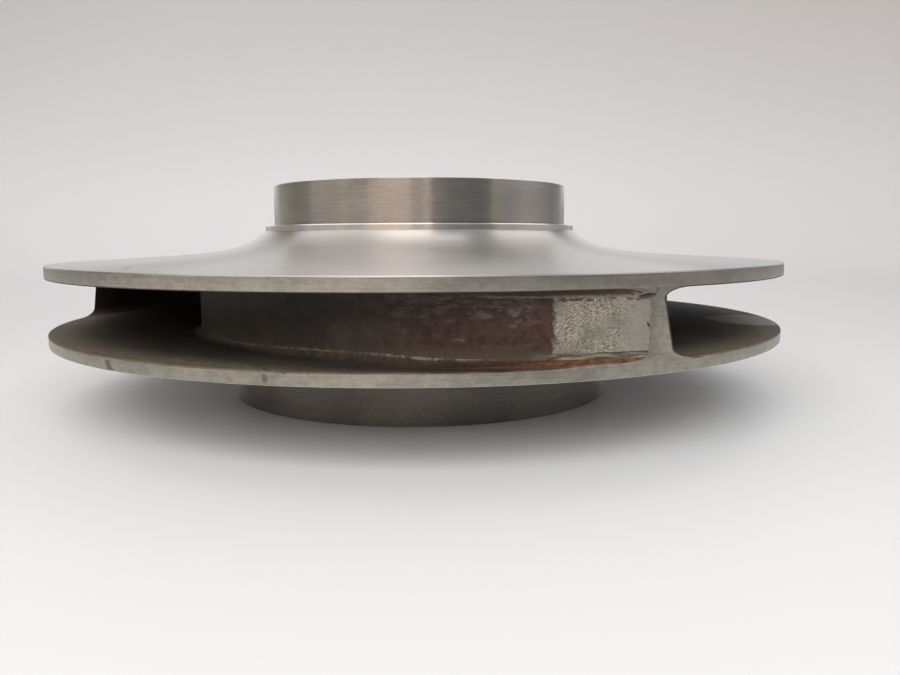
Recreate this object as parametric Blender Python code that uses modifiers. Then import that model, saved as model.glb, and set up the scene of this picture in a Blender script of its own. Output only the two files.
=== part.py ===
"""Closed pump impeller, 330 mm across, lying on its suction wear ring.

One casting holds the hub, the back shroud, the suction shroud and three backward-curved vanes. A wear
ring is shrunk on a collar at each side, up to a turned shoulder, and three grub screws lock each ring.
The axis of rotation is Z. The origin is on the axis, at the lower face of the suction ring.
"""
import math

import bmesh
import bpy
from mathutils import Matrix

# Rim and shrouds, metres
RIM_RADIUS = 0.165
SUCTION_RIM_BOTTOM = 0.0306
SUCTION_RIM_TOP = 0.0349
BACK_RIM_BOTTOM = 0.0573
BACK_RIM_TOP = 0.0623
SHROUD_CONE = 0.048
MACHINING_STOCK = 0.003

# Back shoulder: the shroud sweeps up to it in a hollow that fades out along HOLLOW_LENGTH
LEDGE_RADIUS = 0.0742
LEDGE_HEIGHT = 0.0786
HOLLOW_RISE = 0.0094
HOLLOW_LENGTH = 0.0110

# Back collar, recess and hub boss
BACK_COLLAR_RADIUS = 0.0620
BACK_COLLAR_BORE = 0.0560
BACK_COLLAR_TOP = 0.0960
RECESS_FLOOR = 0.0620
RECESS_FILLET = 0.004
BOSS_RADIUS = 0.0360
BOSS_TOP = 0.0880
BOSS_CHAMFER = 0.0015

# Shaft bore, keyway and balance holes
BORE_RADIUS = 0.0190
KEY_WIDTH = 0.010
KEY_DEPTH = 0.0033
BALANCE_HOLES = 3
BALANCE_HOLE_RADIUS = 0.006
BALANCE_HOLE_CIRCLE = 0.046
BALANCE_HOLE_TURN = math.radians(-20.0)

# Passage walls: the hub flare and the bell of the eye are quarter ellipses
NOSE_RADIUS = 0.0260
NOSE_BOTTOM = 0.0240
HUB_FLARE_RADIUS = 0.0900
EYE_RADIUS = 0.0790
BELL_START = 0.0120
BELL_RADIUS = 0.1120

# Suction shoulder and collar
SUCTION_LEDGE_RADIUS = 0.0940
SUCTION_LEDGE_HEIGHT = 0.0190
SUCTION_HOLLOW_RISE = 0.0060
SUCTION_COLLAR_RADIUS = 0.0840
SUCTION_COLLAR_BOTTOM = 0.0010

# Wear rings
TOTAL_HEIGHT = 0.0967
BACK_RING_RADIUS = 0.0700
SUCTION_RING_RADIUS = 0.0900
RING_CHAMFER = 0.0006
GAP = 0.0003

# Lock screws, M5 grub screws on the joint between collar and ring
LOCK_SCREWS = 3
SCREW_RADIUS = 0.0025
SCREW_LENGTH = 0.0100
SCREW_SUNK = 0.0008
SOCKET_ACROSS_FLATS = 0.0025
SOCKET_DEPTH = 0.0025
BACK_SCREW_TURN = math.radians(35.0)
SUCTION_SCREW_TURN = math.radians(80.0)

# Vanes: log spirals that meet the rim at VANE_ANGLE
VANES = 3
VANE_ANGLE = math.radians(16.4)
VANE_THICKNESS = 0.0050
VANE_RIM_TURN = math.radians(-68.4)
VANE_OVERRUN = math.radians(12.0)
VANE_EDGE_AT_HUB = 0.0600
VANE_EDGE_AT_EYE = 0.0815
VANE_BITE = 0.0015

# Facets
ROUND_STEPS = 64
HOLE_STEPS = 12
FLARE_STEPS = 6
HOLLOW_STEPS = 6
HOLLOW_SPAN = 4.0
VANE_STEPS = 30
NOSE_STEPS = 4
SHARP_ANGLE = math.radians(30.0)


def clear_scene():
    """Removes whatever the new file holds."""
    for obj in list(bpy.data.objects):
        bpy.data.objects.remove(obj, do_unlink=True)


def add_collection(name):
    """Adds a collection to the scene."""
    collection = bpy.data.collections.new(name)
    bpy.context.scene.collection.children.link(collection)
    return collection


def add_material(name, colour, roughness, metallic):
    """Makes a plain Principled material."""
    material = bpy.data.materials.new(name)
    material.use_nodes = True
    shader = material.node_tree.nodes["Principled BSDF"]
    shader.inputs["Base Color"].default_value = (*colour, 1.0)
    shader.inputs["Roughness"].default_value = roughness
    shader.inputs["Metallic"].default_value = metallic
    return material


def add_object(name, mesh, collection):
    """Puts a mesh in the scene under a name."""
    obj = bpy.data.objects.new(name, mesh)
    collection.objects.link(obj)
    return obj


def mark_as_tool(obj):
    """Shows a cutter or a stock shape as wire only."""
    obj.hide_render = True
    obj.display_type = "WIRE"


def turned(name, profile, collection):
    """Turns a closed profile of (radius, height) points, which runs down its outer side, round Z."""
    mesh = bpy.data.meshes.new(name)
    points = [(radius, 0.0, height) for radius, height in profile]
    edges = [(i, (i + 1) % len(points)) for i in range(len(points))]
    mesh.from_pydata(points, edges, [])
    obj = add_object(name, mesh, collection)
    screw = obj.modifiers.new("turn", "SCREW")
    screw.angle = math.tau
    screw.steps = ROUND_STEPS
    screw.render_steps = ROUND_STEPS
    screw.use_merge_vertices = True
    screw.merge_threshold = 0.00001
    return obj


def rod(name, radius, low, high, collection, sides=HOLE_STEPS, at=(0.0, 0.0)):
    """An upright cylinder between two heights."""
    mesh = bpy.data.meshes.new(name)
    shape = bmesh.new()
    middle = Matrix.Translation((*at, (low + high) / 2))
    bmesh.ops.create_cone(
        shape, cap_ends=True, segments=sides, radius1=radius, radius2=radius, depth=high - low, matrix=middle
    )
    shape.to_mesh(mesh)
    shape.free()
    return add_object(name, mesh, collection)


def combine(obj, tool, operation):
    """Adds an exact Boolean with a tool object."""
    modifier = obj.modifiers.new(tool.name, "BOOLEAN")
    modifier.operation = operation
    modifier.solver = "EXACT"
    modifier.object = tool


def settle(obj, material):
    """Applies the modifiers, shades the round faces smooth and gives the material."""
    graph = bpy.context.evaluated_depsgraph_get()
    mesh = bpy.data.meshes.new_from_object(obj.evaluated_get(graph))
    obj.modifiers.clear()
    obj.data = mesh
    mesh.name = obj.name
    mesh.shade_smooth()
    mesh.set_sharp_from_angle(angle=SHARP_ANGLE)
    mesh.materials.clear()
    mesh.materials.append(material)


def quarter_ellipse(start, end):
    """Points from an upright start to a level end."""
    (start_radius, start_height), (end_radius, end_height) = start, end
    points = []
    for i in range(FLARE_STEPS + 1):
        turn = math.pi / 2 * i / FLARE_STEPS
        radius = end_radius - (end_radius - start_radius) * math.cos(turn)
        height = start_height + (end_height - start_height) * math.sin(turn)
        points.append((radius, height))
    return points


def hollow(ledge_radius, rise):
    """(radius, swell) along a shroud's outside: an exponential hollow at the shoulder on a slight cone."""
    points = []
    for i in range(HOLLOW_STEPS + 1):
        lengths = HOLLOW_SPAN * (i / HOLLOW_STEPS) ** 1.5
        radius = ledge_radius + HOLLOW_LENGTH * lengths
        points.append((radius, SHROUD_CONE * (RIM_RADIUS - radius) + rise * math.exp(-lengths)))
    return points


def back_profile():
    """Hub boss, recess, collar, shoulder and back shroud, then the hub flare and the nose."""
    rim = RIM_RADIUS + MACHINING_STOCK
    profile = [
        (BORE_RADIUS, BOSS_TOP),
        (BOSS_RADIUS - BOSS_CHAMFER, BOSS_TOP),
        (BOSS_RADIUS, BOSS_TOP - BOSS_CHAMFER),
        (BOSS_RADIUS, RECESS_FLOOR + RECESS_FILLET),
        (BOSS_RADIUS + RECESS_FILLET, RECESS_FLOOR),
        (BACK_COLLAR_BORE - RECESS_FILLET, RECESS_FLOOR),
        (BACK_COLLAR_BORE, RECESS_FLOOR + RECESS_FILLET),
        (BACK_COLLAR_BORE, BACK_COLLAR_TOP),
        (BACK_COLLAR_RADIUS, BACK_COLLAR_TOP),
        (BACK_COLLAR_RADIUS, LEDGE_HEIGHT),
        (LEDGE_RADIUS, LEDGE_HEIGHT),
    ]
    profile += [(radius, BACK_RIM_TOP + swell) for radius, swell in hollow(LEDGE_RADIUS, HOLLOW_RISE)]
    profile += [(rim, BACK_RIM_TOP - SHROUD_CONE * MACHINING_STOCK), (rim, BACK_RIM_BOTTOM)]
    flare = quarter_ellipse((NOSE_RADIUS, NOSE_BOTTOM), (HUB_FLARE_RADIUS, BACK_RIM_BOTTOM))
    profile += reversed(flare)
    profile.append((BORE_RADIUS, NOSE_BOTTOM))
    return profile


def suction_profile():
    """Bell of the eye, suction shroud, its outside down to the shoulder, and the collar."""
    rim = RIM_RADIUS + MACHINING_STOCK
    profile = quarter_ellipse((EYE_RADIUS, BELL_START), (BELL_RADIUS, SUCTION_RIM_TOP))
    profile += [(rim, SUCTION_RIM_TOP), (rim, SUCTION_RIM_BOTTOM + SHROUD_CONE * MACHINING_STOCK)]
    outside = hollow(SUCTION_LEDGE_RADIUS, SUCTION_HOLLOW_RISE)
    profile += [(radius, SUCTION_RIM_BOTTOM - swell) for radius, swell in reversed(outside)]
    profile += [
        (SUCTION_LEDGE_RADIUS, SUCTION_LEDGE_HEIGHT),
        (SUCTION_COLLAR_RADIUS, SUCTION_LEDGE_HEIGHT),
        (SUCTION_COLLAR_RADIUS, SUCTION_COLLAR_BOTTOM),
        (EYE_RADIUS, SUCTION_COLLAR_BOTTOM),
    ]
    return profile


def passage_profile():
    """The space that the vanes fill, let a little way into both shrouds and open past the rim."""
    rim = RIM_RADIUS + MACHINING_STOCK / 2
    flare = quarter_ellipse((NOSE_RADIUS, NOSE_BOTTOM), (HUB_FLARE_RADIUS, BACK_RIM_BOTTOM))
    bell = quarter_ellipse((EYE_RADIUS, BELL_START), (BELL_RADIUS, SUCTION_RIM_TOP))
    profile = [(radius, height + VANE_BITE) for radius, height in flare if radius >= VANE_EDGE_AT_HUB]
    profile += [(rim, BACK_RIM_BOTTOM + VANE_BITE), (rim, SUCTION_RIM_TOP - VANE_BITE)]
    profile += [
        (radius, height - VANE_BITE) for radius, height in reversed(bell) if radius >= VANE_EDGE_AT_EYE
    ]
    return profile


def spiral_point(turn, inward=0.0):
    """A point of the vane's outer face at an angle from its rim end, moved inward along the normal."""
    radius = RIM_RADIUS * math.exp(math.tan(VANE_ANGLE) * turn)
    angle = VANE_RIM_TURN + turn
    normal = angle + math.pi - VANE_ANGLE
    return (
        radius * math.cos(angle) + inward * math.cos(normal),
        radius * math.sin(angle) + inward * math.sin(normal),
    )


def vane_outline():
    """Outer face from the rim inward, round the leading edge, and the inner face back out."""
    last = math.log(VANE_EDGE_AT_HUB / RIM_RADIUS) / math.tan(VANE_ANGLE)
    turns = [VANE_OVERRUN + (last - VANE_OVERRUN) * i / VANE_STEPS for i in range(VANE_STEPS + 1)]
    outer = [spiral_point(turn) for turn in turns]
    inner = [spiral_point(turn, VANE_THICKNESS) for turn in reversed(turns)]
    middle_x = (outer[-1][0] + inner[0][0]) / 2
    middle_y = (outer[-1][1] + inner[0][1]) / 2
    start = math.atan2(outer[-1][1] - middle_y, outer[-1][0] - middle_x)
    nose = []
    for i in range(1, NOSE_STEPS):
        angle = start - math.pi * i / NOSE_STEPS
        nose.append(
            (
                middle_x + VANE_THICKNESS / 2 * math.cos(angle),
                middle_y + VANE_THICKNESS / 2 * math.sin(angle),
            )
        )
    return outer + nose + inner


def vane_stock(number, passage, collection):
    """One vane: the flat outline extruded through both shrouds and trimmed to the passage."""
    name = f"vane_{number}_stock"
    curve = bpy.data.curves.new(name, "CURVE")
    curve.dimensions = "2D"
    curve.fill_mode = "BOTH"
    curve.extrude = (BACK_RIM_TOP - BELL_START) / 2
    spline = curve.splines.new("POLY")
    outline = vane_outline()
    spline.points.add(len(outline) - 1)
    for point, (x, y) in zip(spline.points, outline):
        point.co = (x, y, 0.0, 1.0)
    spline.use_cyclic_u = True
    drawn = add_object(name, curve, collection)
    drawn.location.z = (BACK_RIM_TOP + BELL_START) / 2
    drawn.rotation_euler.z = math.tau * (number - 1) / VANES
    bpy.context.view_layer.update()

    graph = bpy.context.evaluated_depsgraph_get()
    mesh = bpy.data.meshes.new_from_object(drawn.evaluated_get(graph))
    place = drawn.matrix_world.copy()
    bpy.data.objects.remove(drawn, do_unlink=True)
    shape = bmesh.new()
    shape.from_mesh(mesh)
    bmesh.ops.remove_doubles(shape, verts=shape.verts, dist=0.000001)
    bmesh.ops.recalc_face_normals(shape, faces=shape.faces)
    shape.to_mesh(mesh)
    shape.free()
    vane = add_object(name, mesh, collection)
    vane.matrix_world = place
    combine(vane, passage, "INTERSECT")
    mark_as_tool(vane)
    return vane


def around(count, circle, first):
    """Evenly spaced places on a circle."""
    turns = [first + math.tau * i / count for i in range(count)]
    return [(circle * math.cos(turn), circle * math.sin(turn)) for turn in turns]


def screw_holes(name, circle, low, high, first, collection):
    """Cutters for the lock screws' half holes in collar and ring."""
    holes = []
    for i, place in enumerate(around(LOCK_SCREWS, circle, first)):
        hole = rod(f"{name}_{i + 1}", SCREW_RADIUS + GAP, low, high, collection, at=place)
        mark_as_tool(hole)
        holes.append(hole)
    return holes


def keyway_cutter(collection):
    """A block that cuts the keyway in the side of the bore at +X."""
    reach = BORE_RADIUS + KEY_DEPTH
    mesh = bpy.data.meshes.new("keyway_cutter")
    shape = bmesh.new()
    size = Matrix.Diagonal((reach, KEY_WIDTH, BOSS_TOP * 1.2, 1.0))
    place = Matrix.Translation((reach / 2, 0.0, (BOSS_TOP + NOSE_BOTTOM) / 2))
    bmesh.ops.create_cube(shape, size=1.0, matrix=place @ size)
    shape.to_mesh(mesh)
    shape.free()
    cutter = add_object("keyway_cutter", mesh, collection)
    mark_as_tool(cutter)
    return cutter


def casting(material, parts, tools, back_holes, suction_holes):
    """The casting: shrouds and vanes joined, the rim turned to size, then bored and drilled."""
    body = turned("impeller_casting", back_profile(), parts)
    suction = turned("suction_shroud_stock", suction_profile(), tools)
    passage = turned("passage_space", passage_profile(), tools)
    rim = rod("rim_turning", RIM_RADIUS, -TOTAL_HEIGHT, 2 * TOTAL_HEIGHT, tools, sides=ROUND_STEPS)
    for tool in (suction, passage, rim):
        mark_as_tool(tool)
    combine(body, suction, "UNION")
    for number in range(1, VANES + 1):
        combine(body, vane_stock(number, passage, tools), "UNION")
    combine(body, rim, "INTERSECT")
    combine(body, keyway_cutter(tools), "DIFFERENCE")
    places = around(BALANCE_HOLES, BALANCE_HOLE_CIRCLE, BALANCE_HOLE_TURN)
    for i, place in enumerate(places):
        hole = rod(f"balance_hole_{i + 1}", BALANCE_HOLE_RADIUS, NOSE_BOTTOM, BOSS_TOP, tools, at=place)
        mark_as_tool(hole)
        combine(body, hole, "DIFFERENCE")
    for hole in back_holes + suction_holes:
        combine(body, hole, "DIFFERENCE")
    settle(body, material)


def wear_ring(name, inner, outer, low, high, holes, material, parts):
    """A plain ring with broken edges, notched for the lock screws."""
    ring = turned(
        name,
        [
            (inner, high - RING_CHAMFER),
            (inner + RING_CHAMFER, high),
            (outer - RING_CHAMFER, high),
            (outer, high - RING_CHAMFER),
            (outer, low + RING_CHAMFER),
            (outer - RING_CHAMFER, low),
            (inner + RING_CHAMFER, low),
            (inner, low + RING_CHAMFER),
        ],
        parts,
    )
    for hole in holes:
        combine(ring, hole, "DIFFERENCE")
    settle(ring, material)


def lock_screws(name, circle, first, head, facing, material, parts, tools):
    """Grub screws with a hexagon socket; facing is 1 for a screw entered from above, -1 from below."""
    for i, place in enumerate(around(LOCK_SCREWS, circle, first)):
        foot = head - facing * SCREW_LENGTH
        screw = rod(f"{name}_{i + 1}", SCREW_RADIUS, min(head, foot), max(head, foot), parts, at=place)
        floor = head - facing * SOCKET_DEPTH
        mouth = head + facing * SOCKET_DEPTH
        corner = SOCKET_ACROSS_FLATS / math.sqrt(3)
        low, high = min(floor, mouth), max(floor, mouth)
        socket = rod(f"{name}_socket_{i + 1}", corner, low, high, tools, sides=6, at=place)
        mark_as_tool(socket)
        combine(screw, socket, "DIFFERENCE")
        settle(screw, material)


def build():
    """Builds the impeller."""
    clear_scene()
    parts = add_collection("impeller")
    tools = add_collection("cutters")
    cast_steel = add_material("cast_steel", (0.50, 0.47, 0.43), 0.42, 0.9)
    ring_steel = add_material("ring_steel", (0.55, 0.52, 0.48), 0.30, 1.0)
    screw_steel = add_material("screw_steel", (0.20, 0.20, 0.20), 0.40, 1.0)

    back_head = BACK_COLLAR_TOP - SCREW_SUNK
    suction_head = SUCTION_COLLAR_BOTTOM + SCREW_SUNK
    back_holes = screw_holes(
        "back_screw_hole",
        BACK_COLLAR_RADIUS,
        back_head - SCREW_LENGTH - GAP,
        2 * TOTAL_HEIGHT,
        BACK_SCREW_TURN,
        tools,
    )
    suction_holes = screw_holes(
        "suction_screw_hole",
        SUCTION_COLLAR_RADIUS,
        -TOTAL_HEIGHT,
        suction_head + SCREW_LENGTH + GAP,
        SUCTION_SCREW_TURN,
        tools,
    )
    casting(cast_steel, parts, tools, back_holes, suction_holes)
    wear_ring(
        "back_wear_ring",
        BACK_COLLAR_RADIUS + GAP,
        BACK_RING_RADIUS,
        LEDGE_HEIGHT + GAP,
        TOTAL_HEIGHT,
        back_holes,
        ring_steel,
        parts,
    )
    wear_ring(
        "suction_wear_ring",
        SUCTION_COLLAR_RADIUS + GAP,
        SUCTION_RING_RADIUS,
        0.0,
        SUCTION_LEDGE_HEIGHT - GAP,
        suction_holes,
        ring_steel,
        parts,
    )
    lock_screws(
        "back_lock_screw", BACK_COLLAR_RADIUS, BACK_SCREW_TURN, back_head, 1, screw_steel, parts, tools
    )
    lock_screws(
        "suction_lock_screw",
        SUCTION_COLLAR_RADIUS,
        SUCTION_SCREW_TURN,
        suction_head,
        -1,
        screw_steel,
        parts,
        tools,
    )


build()
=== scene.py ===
"""Looks of the closed pump impeller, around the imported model."""
import math
from functools import reduce

import bmesh
import bpy
import numpy as np
from mathutils import Matrix, Vector


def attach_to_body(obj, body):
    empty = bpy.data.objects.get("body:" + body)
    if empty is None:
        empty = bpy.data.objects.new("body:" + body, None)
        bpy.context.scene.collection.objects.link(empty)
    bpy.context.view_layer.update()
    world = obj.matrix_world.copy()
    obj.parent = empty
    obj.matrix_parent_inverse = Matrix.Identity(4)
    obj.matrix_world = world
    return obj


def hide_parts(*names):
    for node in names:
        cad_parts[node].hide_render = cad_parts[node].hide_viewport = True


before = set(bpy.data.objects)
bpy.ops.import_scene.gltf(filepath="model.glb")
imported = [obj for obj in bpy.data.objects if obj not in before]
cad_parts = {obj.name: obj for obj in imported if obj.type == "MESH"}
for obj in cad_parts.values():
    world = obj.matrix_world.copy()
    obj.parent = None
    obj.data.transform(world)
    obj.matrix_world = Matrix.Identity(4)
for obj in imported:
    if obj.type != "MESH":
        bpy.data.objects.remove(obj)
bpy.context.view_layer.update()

# The waterways. Sand cores leave three passages in the casting, between a suction shroud with a bell mouth
# and a back shroud that flares out of the hub. The vanes between them are log spirals, swept backward.
RIM_RADIUS = 0.165
SUCTION_FACE = 0.0349
BACK_FACE = 0.0573
VANES = 3
VANE_ANGLE = math.radians(16.4)
VANE_TURN = math.radians(-68.4)
VANE_THICK_SUCTION = 0.0060
VANE_THICK_BACK = 0.0044
VANE_NOSE_LENGTH = 0.0040
EYE_RADIUS = 0.0790
BELL_START = 0.0120
BELL_RADIUS = 0.1120
NOSE_RADIUS = 0.0260
NOSE_BOTTOM = 0.0240
FLARE_RADIUS = 0.0900
EDGE_AT_EYE = 0.0815
EDGE_AT_HUB = 0.0600
VANE_NOSE_TAPER = 0.0010
NOSE_TAPER_START = 0.08
NOSE_TAPER_RUN = 0.05
VANE_LENGTH = 0.3
PASSAGE_REACH = 0.09
VANE_SHIFTS = np.radians([0.0, 1.5, -1.5])
FILED_DEPTH = 0.00216
FILED_RUN = 0.026
CORE_FILLET = 0.0036
FILLET_RUN_OUT = 0.010
TIP_FLOOR_FILLET = 0.0030
TIP_FLOOR_RUN = 0.030
CRUST = 0.0007
CRUST_WIDTH = 0.0100
CRUST_EDGE = 0.0040
CRUST_CORNER = 0.0015
CRUST_LEVEL = 0.15
RIM_EDGE = 0.0004
STATIONS = 90
EDGE_STATIONS = (0.5, 0.35, 0.2, 0.1, 0.03)
EDGE_SPREAD = 0.05
LEVEL_POINTS = 44
FILLET_POINTS = 7
WALL_POINTS = 16
PITCH = math.tau / VANES
SLOPE = math.tan(VANE_ANGLE)
LEAN = math.sin(VANE_ANGLE)


def bell(radius):
    """Height of the suction shroud's inner face: a quarter ellipse from the eye, then level."""
    reach = np.clip((BELL_RADIUS - radius) / (BELL_RADIUS - EYE_RADIUS), 0.0, 1.0)
    return BELL_START + (SUCTION_FACE - BELL_START) * np.sqrt(1.0 - reach**2)


def flare(radius):
    """Height of the back shroud's inner face: a quarter ellipse out of the hub's nose, then level."""
    reach = np.clip((FLARE_RADIUS - radius) / (FLARE_RADIUS - NOSE_RADIUS), 0.0, 1.0)
    return NOSE_BOTTOM + (BACK_FACE - NOSE_BOTTOM) * np.sqrt(1.0 - reach**2)


def passage_section():
    """One loop round a passage, as four numbers for each point: how far across it is from the near wall
    (0) to the next vane (1), its inset in fillet radii, and its height as fillet radii plus a share of the
    width. The loop runs along the suction side, up the next vane, back along the hub side, and down."""
    level = np.linspace(0.0, 1.0, LEVEL_POINTS)
    arc = np.linspace(0.0, math.pi / 2, FILLET_POINTS + 2)[1:-1]
    wall = np.linspace(0.0, 1.0, WALL_POINTS)
    inset, rise = 1.0 - np.sin(arc), 1.0 - np.cos(arc)
    zeros, ones = np.zeros_like, np.ones_like
    across = [level, ones(arc), ones(wall), ones(arc), level[::-1], zeros(arc), zeros(wall), zeros(arc)]
    inward = [
        1 - 2 * level, -inset, zeros(wall), -inset[::-1],
        1 - 2 * level[::-1], inset, zeros(wall), inset[::-1],
    ]
    radii = [
        zeros(level), rise, 1 - 2 * wall, -rise[::-1],
        zeros(level), -rise, 2 * wall - 1, rise[::-1],
    ]
    share = [zeros(level), zeros(arc), wall, ones(arc), ones(level), ones(arc), wall[::-1], zeros(arc)]
    return [np.concatenate(part) for part in (across, inward, radii, share)]


SECTION = passage_section()


def passage_rows():
    """Stations from the leading edge (0) to the rim (1): a power of even steps, and more by the rim."""
    start = np.linspace(0.0, 1.0, STATIONS) ** 1.7
    edge = 1.0 - np.array(EDGE_STATIONS) * RIM_EDGE / EDGE_SPREAD
    return np.sort(np.concatenate([start, edge]))


def passage_points(number):
    """Passage walls: each station is the section laid between the two shroud curves, and a point's angle is
    its phase between the vanes plus the log spiral's turn, the log of the radius over the slope. The swept
    side of each vane is filed back towards its tip, by the square of the nearness to the rim, and a crust
    lies on the floor along it there. Also gives each point's flow: its distance from the rim along the
    vane, its share of the height, and its distances from the vane behind it and the vane ahead."""
    station = passage_rows()[:, None]
    across, inward, radii, share = (part[None, :] for part in SECTION)
    eye_radius = EDGE_AT_EYE + (RIM_RADIUS - EDGE_AT_EYE) * station
    hub_radius = EDGE_AT_HUB + (RIM_RADIUS - EDGE_AT_HUB) * station
    eye_height, hub_height = bell(eye_radius), flare(hub_radius)
    width = np.hypot(hub_radius - eye_radius, hub_height - eye_height)

    run = station * (RIM_RADIUS - EDGE_AT_EYE) / LEAN
    fillet = CORE_FILLET * np.clip(run / FILLET_RUN_OUT, 0.0, 1.0) ** 0.5
    by_tip = np.clip(1.0 - (1.0 - station) * VANE_LENGTH / TIP_FLOOR_RUN, 0.0, 1.0)
    at_floor = (across > 0.5) & (share < 0.5)
    fillet = np.where(at_floor, fillet + (TIP_FLOOR_FILLET - CORE_FILLET) * by_tip, fillet)
    to_rim = np.clip((1.0 - station) * PASSAGE_REACH / RIM_EDGE, 0.0, 1.0)
    edge = RIM_EDGE * (1.0 - np.sqrt(1.0 - (1.0 - to_rim) ** 2))

    height = fillet * radii + width * share
    height = height * (width + 2 * edge) / width - edge
    level = height / width
    radius = (1 - level) * eye_radius + level * hub_radius
    up = (1 - level) * eye_height + level * hub_height

    thick = VANE_THICK_SUCTION + (VANE_THICK_BACK - VANE_THICK_SUCTION) * level
    nose = 1.0 - np.clip(run / VANE_NOSE_LENGTH, 0.0, 1.0)
    along = (RIM_RADIUS - radius) / LEAN
    filed = FILED_DEPTH * np.clip(1.0 - along / FILED_RUN, 0.0, 1.0) ** 2
    inset = filed + VANE_NOSE_TAPER * np.clip((along - NOSE_TAPER_START) / NOSE_TAPER_RUN, 0.0, 1.0)
    half = (thick - inset) / 2 * np.sqrt(1.0 - nose**2)
    middle = (thick + inset) / 2
    normal = radius * LEAN
    near = VANE_SHIFTS[number] + (middle + half - edge) / normal
    far = VANE_SHIFTS[(number + 1) % VANES] + PITCH + (middle - half + edge) / normal
    phase = (1 - across) * near + across * far + inward * fillet / normal
    turn = VANE_TURN + PITCH * number + phase + np.log(radius / RIM_RADIUS) / SLOPE
    ahead = (far - phase) * normal
    crust = np.clip((CRUST_WIDTH - ahead) / CRUST_EDGE, 0.0, 1.0) * np.clip(ahead / CRUST_CORNER, 0.0, 1.0)
    up = up + CRUST * crust * by_tip * np.clip(1.0 - level / CRUST_LEVEL, 0.0, 1.0)
    points = np.stack([radius * np.cos(turn), radius * np.sin(turn), up], axis=-1)
    flow = np.stack([along, np.clip(level, 0.0, 1.0), (phase - near) * normal, ahead], axis=-1)
    return points, turn, flow


def quads(rows, columns, start, wrap):
    """Faces of a grid of rows by columns whose first vertex has the index start."""
    index = start + np.arange(rows * columns).reshape(rows, columns)
    if wrap:
        index = np.concatenate([index, index[:, :1]], axis=1)
    corners = (index[:-1, :-1], index[:-1, 1:], index[1:, 1:], index[1:, :-1])
    return np.stack(corners, axis=-1).reshape(-1, 4)


def revolve(profile, turns):
    """A profile of (radius, height) rows carried round the axis, to the angles in turns."""
    radius, height = np.asarray(profile, float).T
    turns = np.broadcast_to(turns, (len(radius), np.shape(turns)[-1]))
    radius, height = radius[:, None], height[:, None]
    return np.stack(
        [radius * np.cos(turns), radius * np.sin(turns), np.broadcast_to(height, turns.shape)], axis=-1
    )


def subdivide(profile, longest):
    """Splits the straight runs of a profile so that none is longer than a length."""
    points = [np.asarray(profile[0], float)]
    for end in np.asarray(profile[1:], float):
        start = points[-1]
        count = max(1, math.ceil(np.hypot(*(end - start)) / longest))
        points += [start + (end - start) * (i + 1) / count for i in range(count)]
    return np.array(points)


DEEP = (0.25, 0.5, 0.05, 0.05)
MERGE_DISTANCE = 2e-6
SHARP_OVER = 32.0


def mesh_from_grids(name, grids):
    """A closed mesh from grids: (points, wraps round, material number, flow). Shared edges merge. A face
    outside the passages has the flow of a place deep inside one."""
    vertices, faces, slots, flows, start = [], [], [], [], 0
    for points, wrap, slot_number, flow in grids:
        rows, columns = points.shape[:2]
        block = quads(rows, columns, start, wrap)
        vertices.append(points.reshape(-1, 3))
        flows.append(np.full((rows * columns, 4), DEEP) if flow is None else flow.reshape(-1, 4))
        faces.append(block)
        slots.append(np.full(len(block), slot_number, np.int32))
        start += rows * columns
    mesh = bpy.data.meshes.new(name)
    mesh.from_pydata(np.concatenate(vertices), [], np.concatenate(faces))
    mesh.polygons.foreach_set("material_index", np.concatenate(slots))
    flows = np.concatenate(flows)
    mesh.attributes.new("flow", "FLOAT_VECTOR", "POINT").data.foreach_set("vector", flows[:, :3].ravel())
    mesh.attributes.new("ahead", "FLOAT", "POINT").data.foreach_set("value", flows[:, 3].ravel())
    shape = bmesh.new()
    shape.from_mesh(mesh)
    bmesh.ops.remove_doubles(shape, verts=shape.verts, dist=MERGE_DISTANCE)
    bmesh.ops.dissolve_degenerate(shape, edges=shape.edges, dist=1e-7)
    bmesh.ops.recalc_face_normals(shape, faces=shape.faces)
    shape.to_mesh(mesh)
    shape.free()
    return mesh


def put(name, data):
    """A new object in the scene, for a mesh, a lamp or a camera."""
    obj = bpy.data.objects.new(name, data)
    bpy.context.scene.collection.objects.link(obj)
    return obj


def place(name, mesh, sharp_over=SHARP_OVER):
    """Puts a mesh in the scene, smooth apart from its real edges."""
    obj = put(name, mesh)
    mesh.shade_smooth()
    mesh.set_sharp_from_angle(angle=math.radians(sharp_over))
    return obj


walls = [passage_points(number) for number in range(VANES)]

# The vane tips and the rim. The outside diameter is turned after casting, so the vane ends lie flush with
# both rims and the three together are one cylinder, open only at the mouths of the passages.
TIP_COLUMNS = 12
SIDE_POINTS = 2 * FILLET_POINTS + WALL_POINTS
far_side = np.arange(LEVEL_POINTS - 1, LEVEL_POINTS + SIDE_POINTS + 1)
near_side = -np.arange(SIDE_POINTS + 2)
across_tip = np.linspace(0.0, 1.0, TIP_COLUMNS + 1)[None, :]
tips = []
for number in range(VANES):
    behind, turn_behind = walls[number - 1][0][-1, far_side], walls[number - 1][1][-1, far_side]
    ahead, turn_ahead = walls[number][0][-1, near_side], walls[number][1][-1, near_side]
    turn_ahead = turn_ahead + math.tau * np.round((turn_behind - turn_ahead).mean() / math.tau)
    turn = turn_behind[:, None] * (1 - across_tip) + turn_ahead[:, None] * across_tip
    up = behind[:, 2:] * (1 - across_tip) + ahead[:, 2:] * across_tip
    points = np.stack([RIM_RADIUS * np.cos(turn), RIM_RADIUS * np.sin(turn), up], axis=-1)
    over_tip = RIM_RADIUS * (turn[:, :1] - turn)
    share_up = (up - SUCTION_FACE) / (BACK_FACE - SUCTION_FACE)
    tips.append((points, np.stack([over_tip, share_up, 0.0 * up, 0.0 * up], axis=-1)))


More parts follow.
